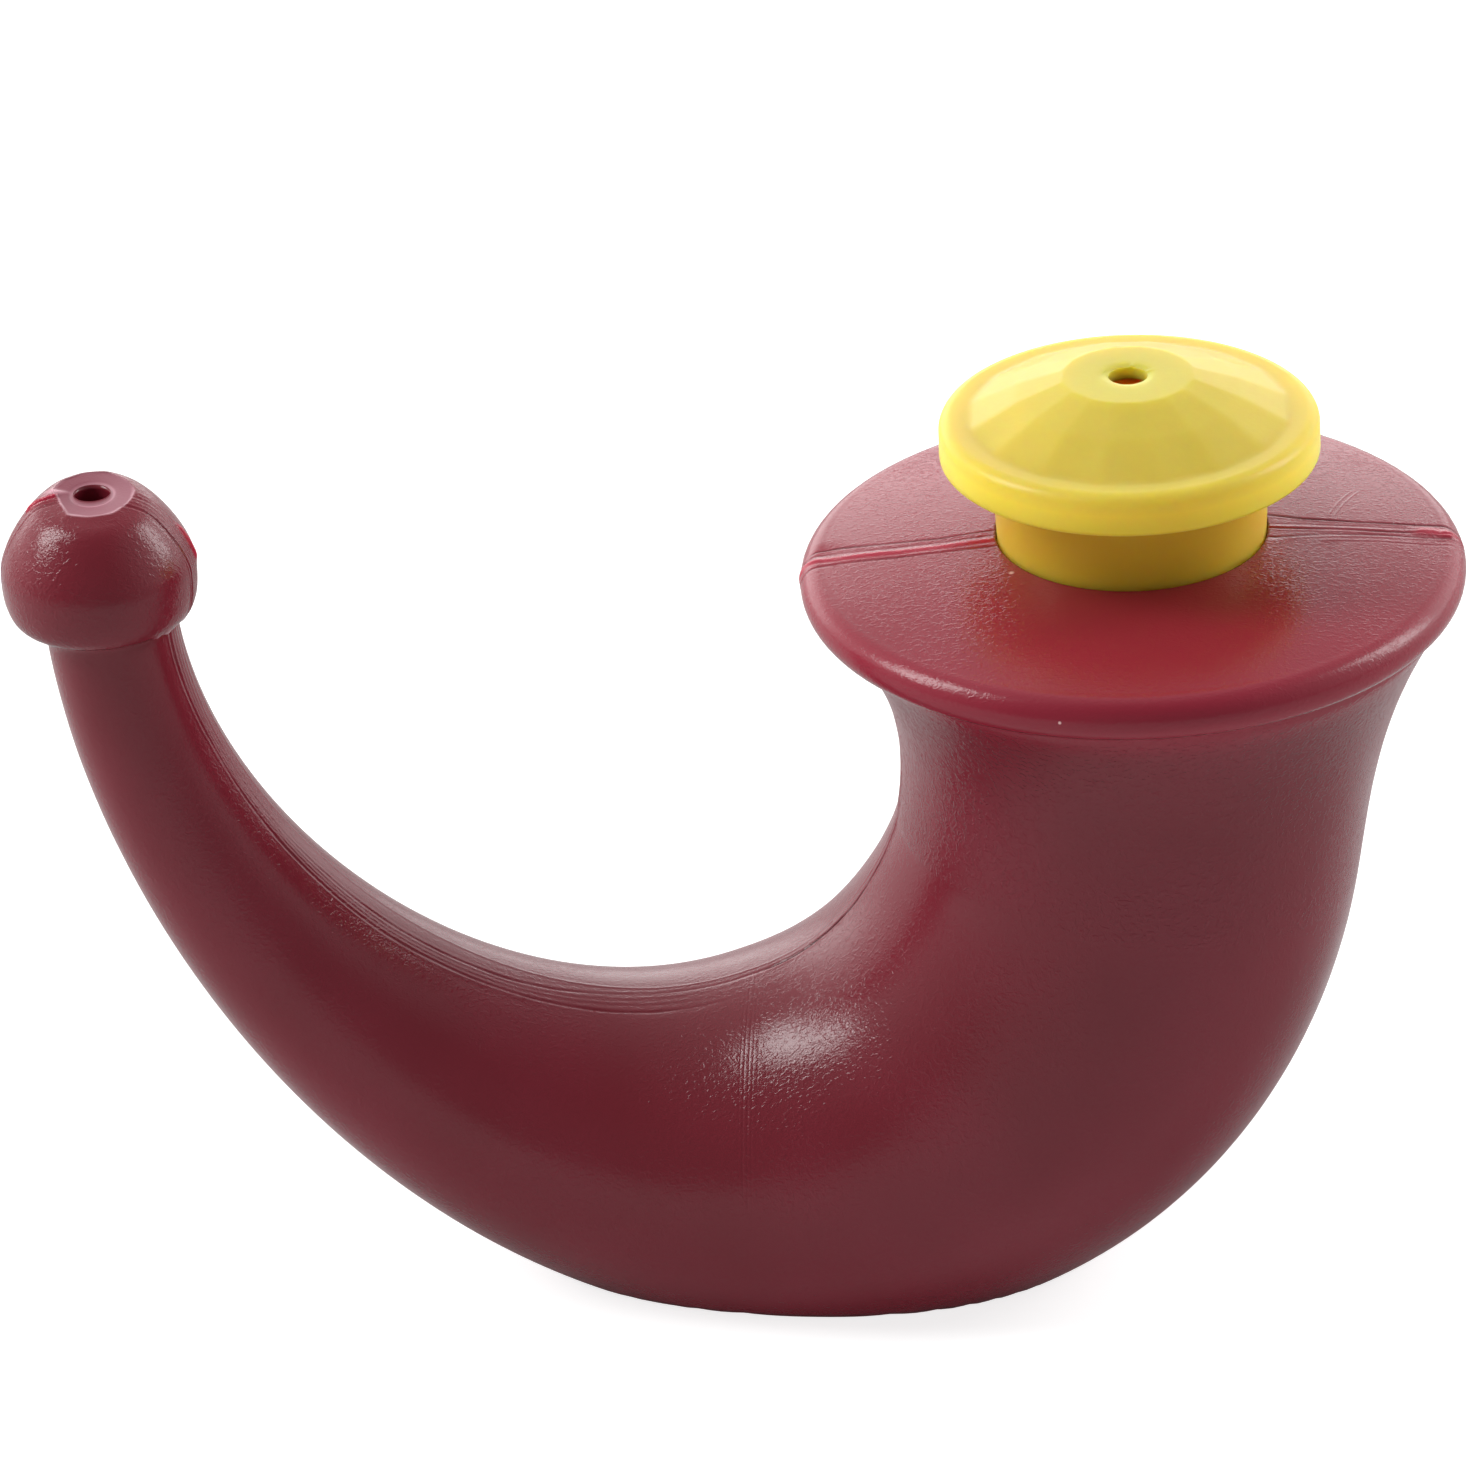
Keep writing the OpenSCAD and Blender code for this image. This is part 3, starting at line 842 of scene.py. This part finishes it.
stretched = add(tree, "Mapping", Vector=spot, Scale=stretch_by).outputs[0]
bent = add(tree, "TexNoise", Vector=stretched, Scale=1100.0, Detail=2.0).outputs["Color"]
pushed = add(tree, "VectorMath", {"operation": "MULTIPLY_ADD"}, i0=bent, i1=push, i2=stretched)
creases = add(tree, "TexNoise", Vector=pushed.outputs[0], Scale=2050.0, Detail=1.5, Roughness=0.5)
creases = creases.outputs["Fac"]
off_middle = math_of(tree, "ABSOLUTE", math_of(tree, "SUBTRACT", creases, 0.5))
valley = ramp_of(tree, off_middle, 0.0, valley_half, -valley_depth, 0.0)

patches = add(tree, "TexNoise", Vector=spot, Scale=75.0, Detail=1.0).outputs["Fac"]
rough_patch = ramp_of(tree, patches, 0.38, 0.62, 0.55, 1.15)
rough_patch = math_of(tree, "MULTIPLY", rough_patch, mark.outputs["Alpha"])
relief = math_of(tree, "MULTIPLY", math_of(tree, "ADD", creases, valley), rough_patch)
grain = add(tree, "TexNoise", Vector=spot, Scale=3600.0, Detail=1.0).outputs["Fac"]
relief = math_of(tree, "ADD", relief, math_of(tree, "MULTIPLY", grain, grain_share))

# %% [markdown]
# The mould had an insert in the bowl. Its joint left a bundle of fine upright lines, which
# lie in planes of constant x with a slight turn and fade out up the side.

# %% Lines of the mould's insert: place along x in millimetres, strength
insert_lines = ((-0.55, 0.5), (-0.1, 1.0), (0.4, 0.9), (0.85, 0.7), (1.4, 0.4))
line_turn, line_depth = -0.095, 0.16


def thin_line(tree, value, middle_mm, near_mm, far_mm, strength):
    """Full strength where value is near the middle, nothing past far_mm from it."""
    beside = math_of(tree, "ABSOLUTE", math_of(tree, "SUBTRACT", value, middle_mm * MM))
    return ramp_of(tree, beside, near_mm * MM, far_mm * MM, strength, 0.0)


def rise_and_fall(tree, value, rise, fall):
    """Product of a ramp up over one range, in metres, and a ramp down over another."""
    up, down = ramp_of(tree, value, *rise), ramp_of(tree, value, *fall, 1.0, 0.0)
    return math_of(tree, "MULTIPLY", up, down)


spot_x, spot_y, spot_z = add(tree, "SeparateXYZ", Vector=spot).outputs
plane = math_of(tree, "ADD", math_of(tree, "MULTIPLY", spot_y, line_turn), spot_x)
lines = 0.0
for middle, strength in insert_lines:
    lines = math_of(tree, "ADD", thin_line(tree, plane, middle, 0.02, 0.16, strength), lines)
line_span = rise_and_fall(tree, spot_z, (0.013, 0.022), (0.029, 0.038))
lines = math_of(tree, "MULTIPLY", lines, math_of(tree, "MULTIPLY", line_span, line_depth))
relief = math_of(tree, "SUBTRACT", relief, lines)

# %% [markdown]
# The disc was scratched twice, side by side, to the right of the stopper. The arcs are where
# it cuts two thin ball-shaped shells round a point outside its edge.

# %% Scratches on the disc
scratch_middle, scratch_radii, scratch_height = (93.3, -7.3, 84.5), (32.0, 31.4), 0.26
from_middle = distance_of(tree, spot, scratch_middle)
scratch = 0.0
for radius_mm in scratch_radii:
    shell = thin_line(tree, from_middle, radius_mm, 0.04, 0.18, scratch_height)
    scratch = math_of(tree, "ADD", shell, scratch)
scratch_span = rise_and_fall(tree, spot_y, (0.0020, 0.0032), (0.0085, 0.0100))
scratch_span = math_of(tree, "MULTIPLY", scratch_span, ramp_of(tree, spot_z, 0.0830, 0.0835))
relief = math_of(tree, "ADD", relief, math_of(tree, "MULTIPLY", scratch, scratch_span))

# %% [markdown]
# The surface is satin, and duller where the knife cut it.

# %% Finish of the wine-red plastic
leather_depth, dull_cut = 0.12 * MM, 0.20
leather = add(tree, "Bump", Height=relief, Strength=1.0, Distance=leather_depth)
tree.links.new(leather.outputs[0], shader.inputs["Normal"])
gloss = ramp_of(tree, drift, 0.3, 0.7, 0.18, 0.23)
gloss = math_of(tree, "ADD", gloss, math_of(tree, "MULTIPLY", is_cut, dull_cut))
tree.links.new(gloss, shader.inputs["Roughness"])
shader.inputs["IOR"].default_value = 1.5
shader.inputs["Specular IOR Level"].default_value = 0.40
pot.data.materials.append(plastic)
print("wine-red recipe has", len(tree.nodes), "nodes")

# %% [markdown]
# ## Yellow plastic
# The stopper is moulded in a softer, cloudy plastic. Light goes a few millimetres into it,
# which keeps its shaded collar warm and lets the wall of the air hole glow. Its yellow also
# holds painted light and shade. The cap, lit most from above, keeps a duller yellow. The brim's
# side gets a lighter, fuller yellow as painted light where less light reaches it. The collar
# under the brim gets a warmer, darker painted shade that also holds the red thrown up by the
# disc. The three colours blend into each other by height.

# %% Yellow plastic
cap_low, cap_high = (0.62, 0.485, 0.066, 1), (0.65, 0.51, 0.075, 1)
brim_painted_light, collar_painted_shade = (0.86, 0.67, 0.062, 1), (0.69, 0.435, 0.036, 1)

yellow, tree, shader, place = new_material("cloudy_yellow_plastic")
spot = place.outputs["Object"]
spot_z = add(tree, "SeparateXYZ", Vector=spot).outputs[2]
cloud = add(tree, "TexNoise", Vector=spot, Scale=120.0, Detail=2.0).outputs["Fac"]
lemon = mix_of(tree, ramp_of(tree, cloud, 0.35, 0.65), cap_low, cap_high)
# Painted light on the brim's side and painted shade on the collar, blended by height.
side_light_share = ramp_of(tree, spot_z, (brim_top - 2.2) * MM, (brim_top - 0.4) * MM, 1.0, 0.0)
collar_shade_share = ramp_of(tree, spot_z, (brim_under - 3.0) * MM, (brim_under + 0.2) * MM, 1.0, 0.0)
lemon = mix_of(tree, side_light_share, lemon, brim_painted_light)
tree.links.new(mix_of(tree, collar_shade_share, lemon, collar_painted_shade), shader.inputs["Base Color"])

# %% Finish of the yellow plastic
grain = add(tree, "TexNoise", Vector=spot, Scale=1800.0, Detail=2.0).outputs["Fac"]
satin = add(tree, "Bump", Height=grain, Strength=1.0, Distance=0.01 * MM)
tree.links.new(satin.outputs[0], shader.inputs["Normal"])
tree.links.new(ramp_of(tree, cloud, 0.3, 0.7, 0.31, 0.37), shader.inputs["Roughness"])
shader.inputs["Subsurface Weight"].default_value = 1.0
shader.inputs["Subsurface Radius"].default_value = (1.0, 0.65, 0.15)
shader.inputs["Subsurface Scale"].default_value = 7 * MM
shader.inputs["IOR"].default_value = 1.45
shader.inputs["Specular IOR Level"].default_value = 0.35
stopper_piece.data.materials.append(yellow)
print("yellow recipe has", len(tree.nodes), "nodes")

# %% [markdown]
# ## Riding on the moving bodies
# Each skin rides on its body, takes the place of the solid node and keeps its material slot.
# The stopper's skin therefore lifts out with the stopper.

# %% Tie both pieces to the moving bodies
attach(pot, "pot")
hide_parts("horn")
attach(stopper_piece, "stopper")
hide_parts("stopper")

# %% [markdown]
# ## The table
# The table is middle grey. The camera sees some light of the table's own on top, so the
# ground is white and the pot's soft shadow still lies on it. Rays that light the pot get a
# smaller share of that light, and reflections get none.

# %% Floor
table_half, table_grey = 3.0, 0.50
own_light_seen, own_light_cast = 0.78, 0.40

floor_mesh = bpy.data.meshes.new("floor")
corners = [(-table_half, -table_half, 0), (table_half, -table_half, 0),
           (table_half, table_half, 0), (-table_half, table_half, 0)]
floor_mesh.from_pydata(corners, [], [(0, 1, 2, 3)])
floor = bpy.data.objects.new("floor", floor_mesh)
bpy.context.scene.collection.objects.link(floor)

floor_paint, tree, shader, place = new_material("white_table")
shader.inputs["Base Color"].default_value = (table_grey, table_grey, table_grey, 1)
shader.inputs["Roughness"].default_value = 0.9
shader.inputs["Specular IOR Level"].default_value = 0.0
rays = tree.nodes.new("ShaderNodeLightPath").outputs
seen = math_of(tree, "ADD", rays["Is Camera Ray"], rays["Is Transmission Ray"])
glow = math_of(tree, "ADD", math_of(tree, "MULTIPLY", seen, own_light_seen),
               math_of(tree, "MULTIPLY", rays["Is Diffuse Ray"], own_light_cast))
shader.inputs["Emission Color"].default_value = (1, 1, 1, 1)
tree.links.new(glow, shader.inputs["Emission Strength"])
floor_mesh.materials.append(floor_paint)

# %% [markdown]
# ## Light
# Two soft boxes high on the left and the right make the long highlights, and a wide panel
# behind makes the pale line inside the bend. Four more panels only fill in and don't show in
# reflections: one high behind, a weak one in front and two low behind the sides.

# %% Soft boxes
def soft_box(name, azimuth, elevation, distance, width, height, power):
    """Area lamp on a sphere round the pot, facing the pot's middle."""
    a, e = math.radians(azimuth), math.radians(elevation)
    out = np.array([math.sin(a) * math.cos(e), -math.cos(a) * math.cos(e), math.sin(e)])
    aim = np.array([0.0, 0.0, 0.055])
    lamp = bpy.data.lights.new(name, "AREA")
    lamp.shape = "RECTANGLE"
    lamp.size, lamp.size_y, lamp.energy = width, height, power
    holder = bpy.data.objects.new(name, lamp)
    side = np.cross([0, 0, 1.0], out)
    side /= np.linalg.norm(side)
    top = np.cross(out, side)
    turn = Matrix(np.column_stack([side, top, out]).tolist()).to_4x4()
    holder.matrix_world = Matrix.Translation((aim + distance * out).tolist()) @ turn
    bpy.context.scene.collection.objects.link(holder)
    return holder


# Name, azimuth, elevation, distance, width, height, power, whether it shows in reflections.
lamps = (
    ("left_box", -88, 42, 0.9, 0.32, 0.50, 5.2, True),
    ("right_box", 103, 30, 0.9, 0.25, 0.50, 2.7, True),
    ("back_wall", -165, 12, 1.2, 1.9, 0.6, 4.4, True),
    ("overhead", -140, 72, 1.0, 0.8, 0.8, 4.4, False),
    ("front_fill", 0, 24, 1.0, 1.0, 0.8, 1.55, False),
    ("left_wall", -122, 10, 1.0, 1.0, 0.5, 7.2, False),
    ("right_wall", 122, 10, 1.0, 1.0, 0.5, 8.2, False),
)
for *where, reflected in lamps:
    soft_box(*where).visible_glossy = reflected
print(len(lamps), "lamps,", round(sum(lamp[6] for lamp in lamps), 1), "W in all")

# %% [markdown]
# The room is white for the camera. For the pot it is uneven: brightest behind, darker
# overhead, a little brighter on the right and darkest on the camera's side, which keeps the
# belly deep red. Each ramp reads one axis of the ray's direction and multiplies the light.
# Reflections see the room brighter than soft light does.

# %% The white room: axis of the direction, from, to, light at from, light at to
room_ramps = (
    (1, -0.75, 0.45, 0.17, 1.0), (2, 0.42, 1.0, 1.0, 0.5),
    (0, -0.3, 0.25, 0.88, 0.75), (0, 0.3, 0.6, 1.0, 1.6),
)
soft_share, reflected_share = 0.30, 1.5

world = bpy.data.worlds.new("studio")
bpy.context.scene.world = world
world.use_nodes = True
tree = world.node_tree
backdrop = tree.nodes["Background"]
backdrop.inputs["Color"].default_value = (1, 1, 1, 1)
rays = tree.nodes.new("ShaderNodeLightPath").outputs
direction = tree.nodes.new("ShaderNodeTexCoord").outputs["Generated"]
way = add(tree, "SeparateXYZ", Vector=direction).outputs

room = 1.0
for axis, low, high, at_low, at_high in room_ramps:
    room = math_of(tree, "MULTIPLY", ramp_of(tree, way[axis], low, high, at_low, at_high), room)
share_seen = ramp_of(tree, rays["Is Glossy Ray"], 0, 1, soft_share, reflected_share)
room = math_of(tree, "MULTIPLY", room, share_seen)
seen = math_of(tree, "MAXIMUM", rays["Is Camera Ray"], rays["Is Transmission Ray"])
tree.links.new(math_of(tree, "MAXIMUM", room, seen), backdrop.inputs["Strength"])
print("room lit by", len(room_ramps), "ramps")

# %% [markdown]
# ## Camera
# The photograph was taken from far off with a long lens, looking down at about 28 degrees.
# The camera is placed so that the middle of the disc lands on its own place in the picture.
# A slight roll levels the picture as the photographer held it.

# %% Camera
picture, focal = 1470.0, 8000.0
azimuth, elevation, roll = np.radians([-1.08, 28.23, 2.93])
anchor, anchor_px, depth = np.array([mouth_x, 0, disc_h]), (1132.0, 549.2), 840.83

flat = np.cos(elevation)
ahead = np.array([np.sin(azimuth) * flat, np.cos(azimuth) * flat, -np.sin(elevation)])
level_right = np.array([np.cos(azimuth), -np.sin(azimuth), 0])
level_up = np.cross(level_right, ahead)
right = np.cos(roll) * level_right - np.sin(roll) * level_up
above = np.sin(roll) * level_right + np.cos(roll) * level_up
off_x, off_y = ((v - picture / 2) / focal * depth for v in anchor_px)
eye = anchor - (off_x * right - off_y * above + depth * ahead)

# %% Place the camera
lens = bpy.data.cameras.new("camera")
lens.sensor_fit, lens.sensor_width = "HORIZONTAL", 36.0
lens.lens = focal * lens.sensor_width / picture
lens.clip_start, lens.clip_end = 0.01, 20.0
camera = bpy.data.objects.new("camera", lens)
turn = Matrix(np.column_stack([right, above, -ahead]).tolist()).to_4x4()
camera.matrix_world = Matrix.Translation((eye * MM).tolist()) @ turn
bpy.context.scene.collection.objects.link(camera)
bpy.context.scene.camera = camera
bpy.context.scene.view_settings.view_transform = "Standard"
print("camera at", np.round(eye, 1), "mm, lens", round(lens.lens, 1), "mm")
